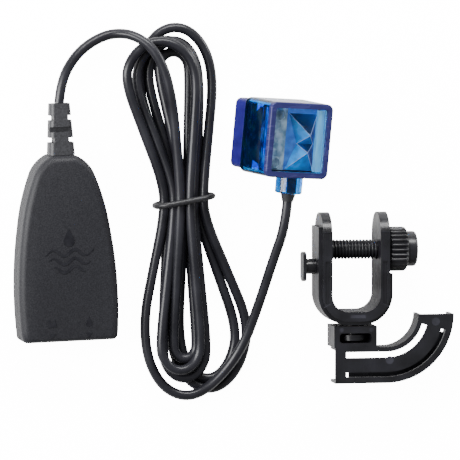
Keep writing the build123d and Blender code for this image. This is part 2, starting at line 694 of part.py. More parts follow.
# ---- write every piece ----
box_pieces = {
    "controller_front_shell": front_shell(),
    "controller_rear_shell": rear_shell(),
    "case_screws": case_screws(),
    "control_board": control_board(),
    "power_jack": jack_body(-JACK_X),
    "power_jack_pin": jack_pin(-JACK_X),
    "pump_jack": jack_body(JACK_X),
    "pump_jack_pin": jack_pin(JACK_X),
    "microcontroller": microcontroller(),
    "buzzer": buzzer(),
    "capacitors": capacitors(),
    "pump_driver": pump_driver(),
    "board_chips": board_chips(),
    "lead_header": lead_header(),
    "strain_relief": strain_relief(),
}
sensor_pieces = {
    "magnet_shell": magnet_shell(),
    "magnet_lid": magnet_lid(),
    "magnet_pad": magnet_pad(),
    "holder_magnet": holder_magnet(),
    "sensor_housing": sensor_housing(),
    "sensor_bezel": sensor_bezel(),
    "window_pane": window_pane(),
    "prism_block": prism_block(),
    "optics_shroud": optics_shroud(),
    "light_rail": light_rail(),
    "infrared_lamps": infrared_lamps(),
    "light_guide": light_guide(),
    "sensor_board": sensor_board(),
    "photo_receivers": photo_receivers(),
    "sensor_magnet": sensor_magnet(),
    "sensor_gland": sensor_gland(),
    "gland_boot": gland_boot(),
}
clamp_pieces = {
    "clamp_frame": clamp_frame(),
    "clamp_screw": clamp_screw(),
    "screw_knob": screw_knob(),
    "knob_cap": knob_cap(),
    "knob_washer": knob_washer(),
    "tube_guide": tube_guide(),
}
for name, shape in box_pieces.items():
    save(name, box_place * shape)
for name, shape in sensor_pieces.items():
    save(name, sensor_place * shape)
for name, shape in clamp_pieces.items():
    save(name, shape)
save("cord_lead", cord_tube("cord_lead", LEAD_ROUTE))
save("cord_tail", cord_tube("cord_tail", TAIL_ROUTE))
save("cord_hank", hank())
save("hank_tie", hank_tie())
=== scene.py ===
"""Looks for the aquarium level controller set: cord, clear sensor, moulded plastics, light and camera.

Metres, in the CAD model's frame. +X right, +Y towards the control box's cord end, +Z up.
Places written as plain numbers in tables are millimetres, and MM turns them into metres.
"""

from math import cos, pi, radians, sin

import bmesh
import bpy
from mathutils import Matrix, Vector


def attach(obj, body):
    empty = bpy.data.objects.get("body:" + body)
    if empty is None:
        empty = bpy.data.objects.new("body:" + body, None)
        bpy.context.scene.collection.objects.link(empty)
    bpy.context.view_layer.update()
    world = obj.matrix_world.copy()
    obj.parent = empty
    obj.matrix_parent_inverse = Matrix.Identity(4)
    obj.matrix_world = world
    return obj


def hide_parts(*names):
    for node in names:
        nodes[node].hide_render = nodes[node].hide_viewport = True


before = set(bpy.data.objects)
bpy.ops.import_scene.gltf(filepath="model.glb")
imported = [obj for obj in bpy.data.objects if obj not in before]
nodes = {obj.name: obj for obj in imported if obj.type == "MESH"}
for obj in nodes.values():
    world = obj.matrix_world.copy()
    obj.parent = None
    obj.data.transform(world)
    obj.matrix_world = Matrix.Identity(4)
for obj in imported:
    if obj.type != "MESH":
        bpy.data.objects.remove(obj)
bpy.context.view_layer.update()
MM = 0.001


# ---------------------------------------------------------------- helpers
SHARP_ANGLE = 35  # degrees; edges sharper than this are rounded
FLAT_ANGLE = 1.0  # degrees; faces flatter than this to each other are merged
WELD_DISTANCE = 0.002  # millimetres


def new_object(name, data):
    """An object that holds the data, in the scene."""
    made = bpy.data.objects.new(name, data)
    bpy.context.scene.collection.objects.link(made)
    return made


def shade(mesh, smooth):
    for polygon in mesh.polygons:
        polygon.use_smooth = smooth


def new_mesh(name, vertices, faces, smooth=True):
    """A mesh object in the scene; vertices are in metres."""
    mesh = bpy.data.meshes.new(name)
    mesh.from_pydata(vertices, [], faces)
    mesh.validate()
    mesh.update()
    shade(mesh, smooth)
    return new_object(name, mesh)


def set_material(piece, material):
    piece.data.materials.clear()
    piece.data.materials.append(material)


def soften(piece, width, segments):
    """Rounds a piece's sharp edges; width in millimetres."""
    bevel = piece.modifiers.new("edge", "BEVEL")
    bevel.width = width * MM
    bevel.segments = segments
    bevel.limit_method = "ANGLE"
    bevel.angle_limit = radians(SHARP_ANGLE)


def smooth_by_angle(piece, angle=30):
    """Flat shading across edges sharper than the angle, smooth elsewhere."""
    mesh = bmesh.new()
    mesh.from_mesh(piece.data)
    for face in mesh.faces:
        face.smooth = True
    for edge in mesh.edges:
        if len(edge.link_faces) == 2 and edge.calc_face_angle() > radians(angle):
            edge.smooth = False
    mesh.to_mesh(piece.data)
    mesh.free()


def settle(piece, body, material, slot, *replaced):
    """Gives a piece its material, and its body to ride on; hides the CAD nodes it replaces. slot is not
    used.
    """
    set_material(piece, material)
    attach(piece, body)
    if replaced:
        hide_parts(*replaced)


def softened_copy(node, body, material, slot, width, segments=2):
    """A CAD node's own shape with its sharp edges rounded, shown in place of the node."""
    mesh = bmesh.new()
    mesh.from_mesh(nodes[node].data)
    bmesh.ops.remove_doubles(mesh, verts=mesh.verts, dist=WELD_DISTANCE * MM)
    bmesh.ops.dissolve_limit(mesh, angle_limit=radians(FLAT_ANGLE), verts=mesh.verts, edges=mesh.edges)
    data = bpy.data.meshes.new(f"{node}_soft")
    mesh.to_mesh(data)
    mesh.free()
    shade(data, False)
    piece = new_object(f"{node}_soft", data)
    soften(piece, width, segments)
    settle(piece, body, material, slot, node)


def rings_mesh(name, rings):
    """Closed skin over rings of equal length, each a closed loop of points in metres."""
    count = len(rings[0])
    vertices = [point for ring in rings for point in ring]
    faces = []
    for row in range(len(rings) - 1):
        for k in range(count):
            a = row * count + k
            b = row * count + (k + 1) % count
            faces.append((a, b, b + count, a + count))
    faces.append(tuple(reversed(range(count))))
    faces.append(tuple(range(len(vertices) - count, len(vertices))))
    return new_mesh(name, vertices, faces)


def lathe_x(name, profile, centre_y, centre_z, steps, radius_at=None):
    """Turned shape along X. profile holds (x, radius) in mm; radius_at(x, radius, angle) may vary it."""
    rings = []
    for x, radius in profile:
        ring = []
        for k in range(steps):
            angle = 2 * pi * k / steps
            r = radius_at(x, radius, angle) if radius_at else radius
            ring.append((x * MM, (centre_y + r * cos(angle)) * MM, (centre_z + r * sin(angle)) * MM))
        rings.append(ring)
    return rings_mesh(name, rings)


def rectangle(x0, y0, x1, y1):
    """Outline of an upright rectangle between two opposite corners."""
    return [(x0, y0), (x1, y0), (x1, y1), (x0, y1)]


def circle_points(x, y, radius, count=28):
    angles = [2 * pi * k / count for k in range(count)]
    return [(x + radius * cos(angle), y + radius * sin(angle)) for angle in angles]


def plate(outline, z0, z1, place=Matrix.Identity(4)):
    """Flat plate with the given outline of (x, y) points, in mm, between two heights of its own frame."""
    rings = [[place @ Vector((x * MM, y * MM, z * MM)) for x, y in outline] for z in (z0, z1)]
    piece = rings_mesh("part", rings)
    shade(piece.data, False)
    return piece


def join(name, pieces):
    """Several mesh objects as one."""
    mesh = bmesh.new()
    for piece in pieces:
        mesh.from_mesh(piece.data)
        bpy.data.objects.remove(piece)
    data = bpy.data.meshes.new(name)
    mesh.to_mesh(data)
    mesh.free()
    return new_object(name, data)


# ---------------------------------------------------------------- materials
class Shader:
    """A material's node tree, with short names for the nodes that are used often."""

    def __init__(self, name, color, roughness, **sockets):
        self.material = bpy.data.materials.new(name)
        self.material.use_nodes = True
        self.tree = self.material.node_tree
        self.bsdf = self.tree.nodes["Principled BSDF"]
        self.bsdf.inputs["Base Color"].default_value = (*color, 1)
        self.bsdf.inputs["Roughness"].default_value = roughness
        for socket, value in sockets.items():
            self.bsdf.inputs[socket.replace("_", " ")].default_value = value
        self.coordinates = self.tree.nodes.new("ShaderNodeTexCoord")

    def node(self, kind, **settings):
        """A new node; each setting is one of its inputs or else one of its properties."""
        made = self.tree.nodes.new(kind)
        for key, value in settings.items():
            if key in made.inputs:
                made.inputs[key].default_value = value
            else:
                setattr(made, key, value)
        return made

    def link(self, source, target):
        self.tree.links.new(source, target)

    def noise(self, scale, detail=3.0, stretch=None):
        """Noise over the object's own coordinates, in features per metre."""
        texture = self.node("ShaderNodeTexNoise", Scale=scale, Detail=detail)
        source = self.coordinates.outputs["Object"]
        if stretch:
            mapping = self.node("ShaderNodeMapping", Scale=stretch)
            self.link(source, mapping.inputs["Vector"])
            source = mapping.outputs["Vector"]
        self.link(source, texture.inputs["Vector"])
        return texture.outputs["Fac"]

    def ramp(self, source, stops):
        """stops are (position, colour) pairs."""
        ramp = self.node("ShaderNodeValToRGB")
        elements = ramp.color_ramp.elements
        while len(elements) < len(stops):
            elements.new(0.5)
        for element, (position, color) in zip(elements, stops):
            element.position = position
            element.color = (*color, 1)
        self.link(source, ramp.inputs["Fac"])
        return ramp.outputs["Color"]

    def color(self, source):
        self.link(source, self.bsdf.inputs["Base Color"])

    def vary_roughness(self, source, low, high):
        spread = self.node("ShaderNodeMapRange")
        spread.inputs["To Min"].default_value = low
        spread.inputs["To Max"].default_value = high
        self.link(source, spread.inputs["Value"])
        self.link(spread.outputs["Result"], self.bsdf.inputs["Roughness"])

    def bump(self, source, height, strength):
        """Adds a bump, in metres, over any that the material has already."""
        bump = self.node("ShaderNodeBump", Distance=height, Strength=strength)
        self.link(source, bump.inputs["Height"])
        previous = self.bsdf.inputs["Normal"].links
        if previous:
            self.link(previous[0].from_socket, bump.inputs["Normal"])
        self.link(bump.outputs["Normal"], self.bsdf.inputs["Normal"])

    def emit(self, source, strength):
        """Lights the material from inside in the source's colour."""
        self.link(source, self.bsdf.inputs["Emission Color"])
        self.bsdf.inputs["Emission Strength"].default_value = strength


# Strength of the painted glow on the prism facets, which are no lamp.
FACET_GLOW = 0.8
STAGE_GLOW = 14.0


def scaled(color, factor):
    return tuple(min(1.0, channel * factor) for channel in color)


def case_plastic():
    """Control box: dark grey moulded plastic with a fine spark-eroded grain."""
    shader = Shader("case_plastic", (0.012, 0.012, 0.015), 0.5, Specular_IOR_Level=0.3)
    grain = shader.noise(2600, 3)
    patches = shader.noise(45, 4)
    shader.color(shader.ramp(grain, [(0.36, (0.008, 0.008, 0.011)), (0.66, (0.020, 0.020, 0.024))]))
    shader.vary_roughness(patches, 0.44, 0.56)
    shader.bump(grain, 0.0001, 0.7)
    return shader.material


def mark_plastic():
    """Raised marks on the control box: the same plastic, polished."""
    shader = Shader("mark_plastic", (0.008, 0.008, 0.011), 0.28)
    patches = shader.noise(300, 3)
    shader.color(shader.ramp(patches, [(0.3, (0.005, 0.005, 0.008)), (0.75, (0.014, 0.014, 0.018))]))
    shader.vary_roughness(patches, 0.22, 0.36)
    return shader.material


def clamp_plastic(name="clamp_plastic", tone=0.007, gloss=0.27):
    """Clamp and guide: nearly black, glossier moulding with flow marks."""
    base = (tone, tone, tone * 1.3)
    shader = Shader(name, base, gloss)
    patches = shader.noise(110, 5)
    flow = shader.noise(420, 3, (1, 0.35, 1))
    shader.color(shader.ramp(patches, [(0.3, scaled(base, 0.7)), (0.72, scaled(base, 2.0))]))
    shader.vary_roughness(flow, gloss * 0.75, gloss * 1.5)
    shader.bump(flow, 0.00006, 0.7)
    shader.bump(patches, 0.00030, 0.45)
    return shader.material


def cord_rubber():
    """Lead jacket: smooth dark grey with a soft sheen."""
    shader = Shader("cord_rubber", (0.014, 0.014, 0.018), 0.3, Specular_IOR_Level=0.35)
    patches = shader.noise(70, 3)
    fine = shader.noise(1800, 2)
    shader.color(shader.ramp(patches, [(0.3, (0.009, 0.009, 0.012)), (0.75, (0.022, 0.022, 0.028))]))
    shader.vary_roughness(patches, 0.25, 0.37)
    shader.bump(fine, 0.00002, 0.5)
    return shader.material


def soft_rubber(name="soft_rubber", tone=0.022):
    base = (tone, tone, tone * 1.15)
    shader = Shader(name, base, 0.44)
    grain = shader.noise(1300, 2)
    shader.color(shader.ramp(grain, [(0.3, scaled(base, 0.7)), (0.75, scaled(base, 1.5))]))
    shader.vary_roughness(grain, 0.36, 0.52)
    shader.bump(grain, 0.00007, 0.6)
    return shader.material


def plain_detail(name, color, roughness, metallic=0.0, scale=900, spread=0.2, **sockets):
    """A solid colour broken up by fine mottling, for small and hidden parts."""
    shader = Shader(name, color, roughness, Metallic=metallic, **sockets)
    mottle = shader.noise(scale, 3)
    shader.color(shader.ramp(mottle, [(0.3, scaled(color, 1 - spread)), (0.7, scaled(color, 1 + spread))]))
    shader.vary_roughness(mottle, roughness * 0.85, min(1.0, roughness * 1.15))
    shader.bump(mottle, 0.00003, 0.4)
    return shader.material


def clear_blue():
    """Tinted clear acrylic of the sensor's housing and gland."""
    shader = Shader("clear_blue", (0.01, 0.30, 0.90), 0.05, Transmission_Weight=0.985, IOR=1.42)
    swirl = shader.noise(190, 4)
    stops = [(0.32, (0.003, 0.10, 0.55)), (0.5, (0.01, 0.28, 0.88)), (0.72, (0.10, 0.62, 1.0))]
    shader.color(shader.ramp(swirl, stops))
    shader.bump(swirl, 0.0002, 0.4)
    return shader.material


def window_clear():
    """Thin clear pane with hardly any tint."""
    shader = Shader("window_clear", (0.86, 0.95, 1.0), 0.03, Transmission_Weight=1.0, IOR=1.18)
    ripple = shader.noise(120, 2)
    shader.color(shader.ramp(ripple, [(0.3, (0.80, 0.92, 1.0)), (0.7, (0.95, 0.99, 1.0))]))
    return shader.material


def violet_plastic(name, low, high, gloss):
    """Tinted violet-blue moulding, faintly streaked."""
    shader = Shader(name, low, gloss, Specular_IOR_Level=0.3)
    patches = shader.noise(120, 4, (1, 3, 1))
    shader.color(shader.ramp(patches, [(0.3, low), (0.75, high)]))
    shader.vary_roughness(patches, gloss * 0.8, gloss * 1.4)
    shader.bump(patches, 0.0002, 0.3)
    return shader.material


def facet_glass_painted_light():
    """Prism facets: the stored painted light and shade of each facet, mottled, with a painted glow."""
    shader = Shader("facet_glass_painted_light", (0.01, 0.1, 0.4), 0.12)
    facet_light_paint = shader.node("ShaderNodeAttribute", attribute_name="facet_light_paint")
    veins = shader.noise(330, 4)
    mottle = shader.ramp(veins, [(0.3, (0.45, 0.5, 0.6)), (0.68, (1.0, 1.0, 1.0))])
    product = shader.node("ShaderNodeVectorMath", operation="MULTIPLY")
    shader.link(facet_light_paint.outputs["Color"], product.inputs[0])
    shader.link(mottle, product.inputs[1])
    shader.color(product.outputs["Vector"])
    shader.emit(product.outputs["Vector"], FACET_GLOW)
    shader.vary_roughness(veins, 0.08, 0.22)
    return shader.material


def glow(name, dark, light, strength, scale, stretch=None):
    """Clear blue detail with painted light: dark and light spots, and a painted glow, though it is no lamp.
    """
    shader = Shader(name, light, 0.15)
    spots = shader.noise(scale, 4, stretch)
    tone = shader.ramp(spots, [(0.40, dark), (0.62, light)])
    shader.color(tone)
    shader.emit(tone, strength)
    return shader.material


def stage_white():
    """White sweep of the light tent, lit through from below as the camera sees it."""
    shader = Shader("stage_white", (0.96, 0.96, 0.96), 1.0)
    sight = shader.node("ShaderNodeLightPath")
    shader.bsdf.inputs["Emission Color"].default_value = (1, 1, 1, 1)
    lift = shader.node("ShaderNodeMath", operation="MULTIPLY")
    lift.inputs[1].default_value = STAGE_GLOW
    shader.link(sight.outputs["Is Camera Ray"], lift.inputs[0])
    shader.link(lift.outputs["Value"], shader.bsdf.inputs["Emission Strength"])
    return shader.material


CASE = case_plastic()
MARK = mark_plastic()
CLAMP = clamp_plastic()
CLAMP_MARK = clamp_plastic("clamp_mark", 0.018, 0.2)
CORD = cord_rubber()
SOFT = soft_rubber()
TIE = soft_rubber("tie_rubber", 0.013)
BLUE = clear_blue()
WINDOW = window_clear()
SLAB = violet_plastic("slab_violet", (0.010, 0.007, 0.11), (0.020, 0.015, 0.19), 0.3)
BEZEL = violet_plastic("bezel_violet", (0.020, 0.021, 0.095), (0.036, 0.037, 0.15), 0.24)
FACET = facet_glass_painted_light()
# Painted highlight colour for the thin lines along the prism edges.
EDGE_HIGHLIGHT = plain_detail("prism_edge_highlight", (0.50, 0.52, 0.75), 0.2)
# Painted glow: the streaks and sleeve corners are painted light; the light guide and the rail keep their
# own blue and pale tones, with painted light spots and a painted glow over them.
STREAK = glow("light_streak", (0.002, 0.03, 0.16), (0.08, 0.50, 0.90), 0.9, 420, (1, 0.5, 1))
PATCH = glow("light_patch", (0.005, 0.15, 0.62), (0.02, 0.42, 1.0), 1.0, 240)
GUIDE_LIGHT = glow("light_guide", (0.10, 0.38, 0.72), (0.20, 0.56, 0.90), 0.35, 160, (1, 0.2, 1))
RAIL = glow("light_rail", (0.10, 0.17, 0.26), (0.34, 0.44, 0.55), 0.15, 300, (1, 0.6, 1))
SHROUD = plain_detail("shroud_dark", (0.002, 0.003, 0.008), 0.3, scale=300, spread=0.6)
BOARD_DARK = plain_detail("board_slate", (0.028, 0.034, 0.11), 0.4, scale=500)
BOARD_GREEN = plain_detail("board_green", (0.02, 0.13, 0.055), 0.35, scale=700)
SOCKET = plain_detail("socket_black", (0.010, 0.010, 0.012), 0.3)
BRASS = plain_detail("contact_brass", (0.72, 0.52, 0.24), 0.25, 1.0)
CHIP = plain_detail("chip_black", (0.014, 0.014, 0.015), 0.5)
CAN = plain_detail("can_aluminium", (0.72, 0.73, 0.75), 0.3, 1.0)
HEADER = plain_detail("header_white", (0.72, 0.70, 0.62), 0.4)
STEEL = plain_detail("screw_steel", (0.55, 0.55, 0.57), 0.3, 1.0)
LENS = plain_detail("lamp_lens", (0.55, 0.66, 0.80), 0.1, Transmission_Weight=0.5)
NICKEL = plain_detail("magnet_nickel", (0.62, 0.62, 0.64), 0.2, 1.0)
PAD = plain_detail("pad_dark", (0.02, 0.02, 0.05), 0.7)
STAGE = stage_white()

# ---------------------------------------------------------------- control box
BOX_SPLIT_Z = 10.5
BOX_TOP_Z = 21.0
BOX_BASE_Y = -38.6
BOX_CROWN_Y = 39.2
BOX_TURN = 2.0  # degrees
BOX_FRAME = Matrix.Rotation(radians(BOX_TURN), 4, "Z")
BEVEL_IN = 3.0
BEVEL_DOWN = 2.9
BEVEL_STEPS = 6
SHELL_WALL = 2.0
ARC_STEPS = 14
FOOT_ROUND = 2.0  # radius of the two lower corners
SHOULDER_SHARE = 0.7  # how far the slanted shoulders are drawn in along each axis, against the sides
FOOT_BEVEL_SHARE = 0.55  # how far the lower edge is drawn in, against the sides
SHELL_ROOF = 2.4
SEAM_IN = (0.25, 0.15)  # how far the seam's edge is drawn in, at the sides and at the foot
SEAM_HIGH = 0.3
RING_POINTS = 240
JACK_X = 7.8
JACK_MOUTH_R = 3.9
JACK_MOUTH_DEEP = 8.0
JACK_MOUTH_IN = 1.0  # from the lower edge to the middle of the cut


def arc_through(a, b, c, steps):
    """Points on the circle through three points, from a up to but not including c."""
    ax, ay = a
    bx, by = b
    cx, cy = c
    d = 2 * (ax * (by - cy) + bx * (cy - ay) + cx * (ay - by))
    a2, b2, c2 = ax * ax + ay * ay, bx * bx + by * by, cx * cx + cy * cy
    ox = (a2 * (by - cy) + b2 * (cy - ay) + c2 * (ay - by)) / d
    oy = (a2 * (cx - bx) + b2 * (ax - cx) + c2 * (bx - ax)) / d
    centre = Vector((ox, oy))
    start = Vector(a) - centre
    turn = start.angle_signed(Vector(c) - centre)
    return [tuple(centre + Matrix.Rotation(-turn * k / steps, 2) @ start) for k in range(steps)]


def flank_points(inset):
    """Right-hand flank of the control box, from the lower corner to the crown."""
    shoulder = SHOULDER_SHARE * inset
    return [
        (20.1 - inset, BOX_BASE_Y),
        (20.9 - inset, -16.7),
        (18.6 - inset, 8.5),
        (15.4 - inset, 23.6 - 0.3 * inset),
        (12.3 - shoulder, 32.4 - shoulder),
        (9.6 - shoulder, 36.1 - shoulder),
        (5.2 - 0.2 * inset, BOX_CROWN_Y - inset),
    ]


def box_ring(inset, base_in=0.0):
    """The tapered shield outline of the control box, drawn in from its edge, with rounded lower corners."""
    keys = flank_points(inset)
    flank = []
    for k in (0, 2, 4):
        flank += arc_through(*keys[k : k + 3], ARC_STEPS)
    flank.append(keys[-1])
    base_y = BOX_BASE_Y + base_in
    flank = [(x, y) for x, y in flank if y > base_y + FOOT_ROUND]
    corner_x = keys[0][0] - FOOT_ROUND
    corner = [
        (corner_x + FOOT_ROUND * sin(radians(a)), base_y + FOOT_ROUND - FOOT_ROUND * cos(radians(a)))
        for a in range(0, 91, 15)
    ]
    right = corner + flank
    left = [(-x, y) for x, y in reversed(right)]
    return right + left


def resampled(outline, count):
    """The outline as count points at equal spacing, starting from its first point."""
    points = [Vector(p) for p in outline] + [Vector(outline[0])]
    lengths = [0.0]
    for a, b in zip(points, points[1:]):
        lengths.append(lengths[-1] + (b - a).length)
    ring = []
    row = 0
    for k in range(count):
        target = lengths[-1] * k / count
        while lengths[row + 1] < target:
            row += 1
        share = (target - lengths[row]) / max(lengths[row + 1] - lengths[row], 1e-9)
        ring.append(points[row].lerp(points[row + 1], share))
    return ring


def placed_ring(inset, base_in, z):
    ring = resampled(box_ring(inset, base_in), RING_POINTS)
    return [BOX_FRAME @ Vector((p.x * MM, p.y * MM, z * MM)) for p in ring]


def front_cover():
    """Hollow upper half of the control box: straight sides and a soft rounded edge up to a flat face."""
    heights = (BOX_TOP_Z - SHELL_ROOF, BOX_SPLIT_Z)
    rings = [placed_ring(SHELL_WALL, SHELL_WALL, z) for z in heights]
    rings += [placed_ring(*SEAM_IN, BOX_SPLIT_Z), placed_ring(0.0, 0.0, BOX_SPLIT_Z + SEAM_HIGH)]
    foot = BOX_TOP_Z - BEVEL_DOWN
    for step in range(BEVEL_STEPS + 1):
        angle = radians(90 * step / BEVEL_STEPS)
        inset = BEVEL_IN * (1 - cos(angle))
        rings.append(placed_ring(inset, FOOT_BEVEL_SHARE * inset, foot + BEVEL_DOWN * sin(angle)))
    cover = rings_mesh("front_cover", rings)
    for x in (-JACK_X, JACK_X):
        bore_jack(cover, x)
    smooth_by_angle(cover)
    settle(cover, "root", CASE, "case_black", "controller_front_shell")


def bore_jack(cover, x):
    """Cuts the round mouth of a barrel socket out of the lower wall."""
    bpy.ops.mesh.primitive_cylinder_add(vertices=48, radius=JACK_MOUTH_R * MM, depth=JACK_MOUTH_DEEP * MM)
    cutter = bpy.context.active_object
    middle = BOX_FRAME @ Vector((x * MM, (BOX_BASE_Y + JACK_MOUTH_IN) * MM, BOX_SPLIT_Z * MM))
    cutter.matrix_world = Matrix.Translation(middle) @ BOX_FRAME @ Matrix.Rotation(pi / 2, 4, "X")
    cut = cover.modifiers.new("mouth", "BOOLEAN")
    cut.object = cutter
    cut.operation = "DIFFERENCE"
    cut.solver = "EXACT"
    bpy.context.view_layer.update()
    shape = cover.evaluated_get(bpy.context.evaluated_depsgraph_get())
    cover.data = bpy.data.meshes.new_from_object(shape)
    cover.modifiers.clear()
    bpy.data.objects.remove(cutter)


RIBBON_END = 0.25  # width of a band at its ends, against its middle
DROP_HIGH = 2.3  # height of a drop's point over the middle of its round part, in radii


def ribbon(line, half_width):
    """Outline of a band that follows a line of points, thinning out towards its ends."""
    upper, lower = [], []
    last = len(line) - 1
    for k, point in enumerate(line):
        before, after = Vector(line[max(k - 1, 0)]), Vector(line[min(k + 1, last)])
        side = (after - before).orthogonal().normalized()
        width = half_width * (RIBBON_END + (1 - RIBBON_END) * sin(pi * k / last))
        upper.append(tuple(Vector(point) + side * width))
        lower.append(tuple(Vector(point) - side * width))
    return upper + lower[::-1]


EMBLEM_Z = (BOX_TOP_Z - 0.05, BOX_TOP_Z + 0.22)
EMBLEM_PLACE = (0.6, -1.8)
EMBLEM_DROP = (5.4, 2.3)  # height above the emblem's middle, and size
EMBLEM_WAVES = [(0.6, 10.4), (-3.0, 8.6), (-6.4, 6.4)]  # height above the middle, and half length
WAVE_LENGTH = 9.0
WAVE_HIGH = 1.3
WAVE_HALF_WIDTH = 0.62
WAVE_STEPS = 36
SIGN_Y = -31.2
ARROW_HALF = 1.25
ARROW_TOP_Y = -35.0
ARROW_TIP_Y = -37.0
ARROW_SINK = 0.25  # deeper, because the box's edge falls away there
PLUG_LOW, PLUG_HIGH, PLUG_HALF = -1.0, 0.9, 1.8
PRONG_TOP, PRONG_OUT, PRONG_HALF = 2.2, 1.1, 0.3
SIGN_DROP = 1.25


def wave_line(y, half):
    """Points of a wavy line of the emblem, from -half to half beside its middle."""
    line = []
    for k in range(WAVE_STEPS + 1):
        x = -half + 2 * half * k / WAVE_STEPS
        rise = WAVE_HIGH * sin(2 * pi * x / WAVE_LENGTH)
        line.append((EMBLEM_PLACE[0] + x, EMBLEM_PLACE[1] + y + rise))
    return line


def drop_points(x, y, size):
    """A water drop: round below, pointed above."""
    points = [(x + size * cos(radians(a)), y + size * sin(radians(a))) for a in range(-210, 31, 15)]
    return points + [(x, y + DROP_HIGH * size)]


def face_plate(outline, sink=0.0):
    """Raised plate on the control box's face."""
    low, high = EMBLEM_Z
    return plate(outline, low - sink, high, BOX_FRAME)


def emblem():
    """Raised generic mark on the face: a drop over three wavy lines."""
    rise, size = EMBLEM_DROP
    parts = [face_plate(drop_points(EMBLEM_PLACE[0], EMBLEM_PLACE[1] + rise, size))]
    for y, half in EMBLEM_WAVES:
        parts.append(face_plate(ribbon(wave_line(y, half), WAVE_HALF_WIDTH)))
    settle(join("emblem", parts), "root", MARK, "case_black")


def socket_marks():
    """Raised generic signs over the two sockets: a plug and a drop, each above a small arrow."""
    parts = []
    for x in (-JACK_X, JACK_X):
        arrow = [(x, ARROW_TIP_Y), (x + ARROW_HALF, ARROW_TOP_Y), (x - ARROW_HALF, ARROW_TOP_Y)]
        parts.append(face_plate(arrow, ARROW_SINK))
    plug_x = -JACK_X
    plug = (plug_x - PLUG_HALF, SIGN_Y + PLUG_LOW, plug_x + PLUG_HALF, SIGN_Y + PLUG_HIGH)
    parts.append(face_plate(rectangle(*plug)))
    for x in (plug_x - PRONG_OUT, plug_x + PRONG_OUT):
        prong = (x - PRONG_HALF, SIGN_Y + PLUG_HIGH, x + PRONG_HALF, SIGN_Y + PRONG_TOP)
        parts.append(face_plate(rectangle(*prong)))
    parts.append(face_plate(drop_points(JACK_X, SIGN_Y, SIGN_DROP)))
    settle(join("socket_marks", parts), "root", MARK, "case_black")


# ---------------------------------------------------------------- lead
CORD_D = 4.2 * MM
LEAD_POINTS = [
    (-2.1, 60.8, 10.5),
    (-1.2, 70.0, 10.3),
    (4.6, 80.2, 9.2),
    (12.4, 86.6, 8.0),
    (21.2, 90.0, 7.6),
    (29.6, 89.2, 12.0),
    (37.0, 83.8, 14.8),
    (41.8, 75.0, 15.2),
    (44.6, 64.0, 15.0),
    (46.4, 53.0, 13.4),
]
TAIL_POINTS = [
    (65.0, -58.0, 6.8),
    (76.0, -43.4, 10.0),
    (81.9, -24.0, 16.4),
    (86.7, -4.6, 23.8),
    (90.7, 8.9, 28.4),
    (91.67, 19.77, 28.73),
]
WAIST_Y = 19.2
WAIST_GRIP = 6.5
TURN_STEP = 36  # degrees between the points of a loop
# Where the turns pass through the tie, as (x, z), in three layers: six strands down, five back up.
DOWN = [(49.0, 12.0), (51.2, 8.3), (49.0, 4.65), (44.8, 4.65), (46.9, 8.3), (42.7, 8.3)]
UP = [(53.3, 4.65), (57.5, 4.65), (59.6, 8.3), (55.4, 8.3), (53.3, 12.0)]
# Loops below and above the tie: (left x, right x, y where the sides meet the loop, y of its end, z).
LOWER_LOOPS = [
    (46.8, 57.0, -41.5, -48.0, 6.4),
    (49.8, 75.0, -35.5, -57.6, 2.2),
    (45.4, 80.2, -33.5, -62.2, 2.2),
    (42.2, 61.4, -44.0, -56.5, 6.4),
    (40.6, 58.2, -41.5, -52.8, 10.6),
]
UPPER_LOOPS = [
    (41.0, 54.6, 74.0, 82.0, 2.2),
    (36.4, 58.8, 70.0, 87.0, 2.2),
    (32.2, 64.8, 69.0, 93.0, 2.2),
    (30.6, 58.0, 68.0, 87.5, 6.4),
    (25.6, 56.4, 70.0, 87.0, 10.6),
]
# The last turn's outer loop: its own left side and foot, before the tail leaves for the sensor.
OUTER_LOOP = [(34.6, -30.0, 5.0), (36.0, -48.0, 5.0), (43.0, -60.5, 5.4), (54.0, -64.6, 6.0)]


def loop_points(left, right, side_y, end_y, z, start):
    """Half an ellipse between two sides, anticlockwise from the start angle, in degrees."""
    middle = (left + right) / 2
    across = (right - left) / 2
    reach = abs(end_y - side_y)
    angles = [radians(start + step) for step in range(0, 181, TURN_STEP)]
    return [(middle + across * cos(angle), side_y + reach * sin(angle), z) for angle in angles]


def through_tie(x, z, heading):
    """Two points that keep a strand straight through the tie. heading is -1 downwards, 1 upwards."""
    return [(x, WAIST_Y - heading * WAIST_GRIP, z), (x, WAIST_Y + heading * WAIST_GRIP, z)]


def halfway(a, b):
    return tuple(p + (q - p) / 2 for p, q in zip(a, b))


def cord_route():
    """Control box, lead, the tied turns, tail and sensor: the points of one smooth line."""
    route = list(LEAD_POINTS)
    for turn, (x, z) in enumerate(DOWN):
        route += through_tie(x, z, -1)
        if turn == len(LOWER_LOOPS):
            break
        lower = loop_points(*LOWER_LOOPS[turn], start=180)
        route += [halfway(route[-1], lower[0]), *lower]
        rising = through_tie(*UP[turn], heading=1)
        route += [halfway(lower[-1], rising[0]), *rising]
        upper = loop_points(*UPPER_LOOPS[turn], start=0)
        route += [halfway(rising[-1], upper[0]), *upper]
        falling = through_tie(*DOWN[turn + 1], heading=-1)
        route.append(halfway(upper[-1], falling[0]))
    route += [halfway(route[-1], OUTER_LOOP[0])]
    return route + OUTER_LOOP + TAIL_POINTS


def make_cord():
    route = cord_route()
    curve = bpy.data.curves.new("sensor_lead", "CURVE")
    curve.dimensions = "3D"
    curve.bevel_depth = CORD_D / 2
    curve.bevel_resolution = 6
    curve.resolution_u = 8
    curve.use_fill_caps = True
    spline = curve.splines.new("NURBS")
    spline.points.add(len(route) - 1)
    for point, place in zip(spline.points, route):
        point.co = (*(value * MM for value in place), 1)
    spline.order_u = 3
    spline.use_endpoint_u = True
    cord = new_object("sensor_lead", curve)
    set_material(cord, CORD)
    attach(cord, "root")
    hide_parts("cord_lead", "cord_hank", "cord_tail")


